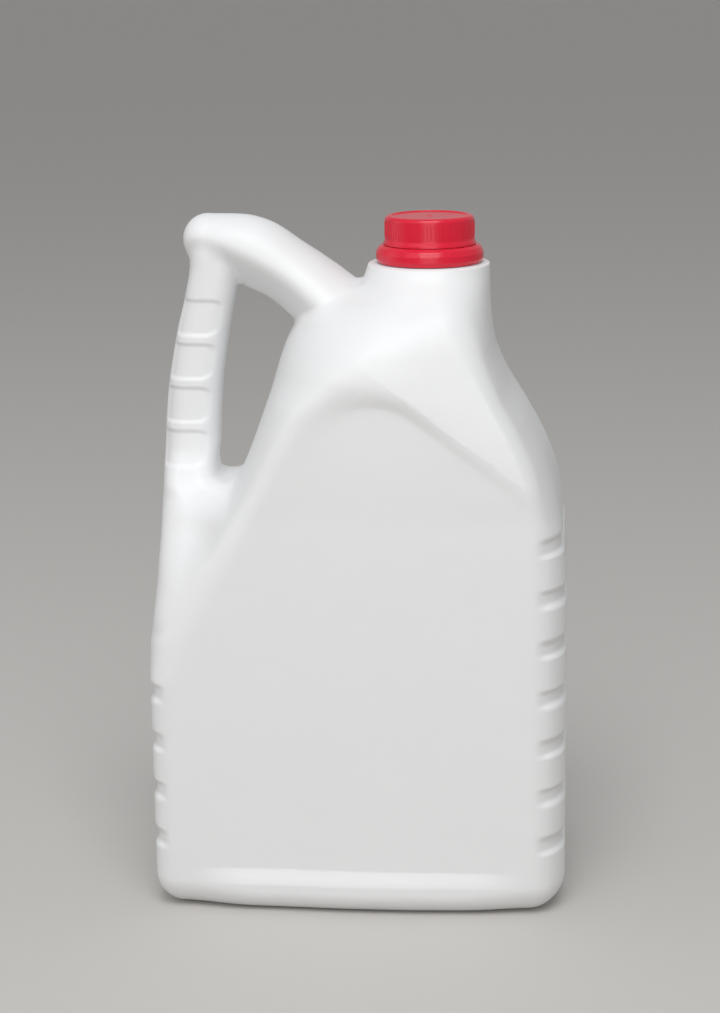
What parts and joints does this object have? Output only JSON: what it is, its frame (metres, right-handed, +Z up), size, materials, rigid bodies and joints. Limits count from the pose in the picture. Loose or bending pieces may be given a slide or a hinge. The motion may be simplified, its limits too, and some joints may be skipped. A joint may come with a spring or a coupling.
{
  "type": "jerrycan",
  "caption": "Upright blow-moulded plastic jerrycan with a built-in side grip, arched label faces and a screw cap with tamper ring",
  "frame": {"origin": "middle of the base's bounding box, on the plane the can stands on", "axes": "+Z up, +X from the grip towards the neck, the two label faces look along -Y and +Y"},
  "size_m": [0.1904, 0.1308, 0.3164],
  "materials": {
    "white_shell": "satin white polyethylene, faintly see-through, with soft mould parting lines",
    "red_closure": "glossy red injection-moulded polypropylene",
    "seal_foam": "matt off-white foamed polyethylene"
  },
  "bodies": {
    "can": {"bottle": "white_shell", "tamper_ring": "red_closure"},
    "seal": {"cap_liner": "seal_foam"},
    "cap": {"screw_cap": "red_closure"}
  },
  "joints": [
    {"name": "cap_lift", "type": "slide", "parent": "can", "child": "seal", "axis": [0, 0, 1], "range_m": [0, 0.006]},
    {"name": "cap_turn", "type": "hinge", "parent": "seal", "child": "cap", "pos_m": [0.0318, 0, 0.308], "axis": [0, 0, 1], "range_deg": [0, 540]}
  ],
  "couplings": [
    {"joint": "cap_lift", "follows": "cap_turn", "m_per_rad": 0.0006366}
  ]
}
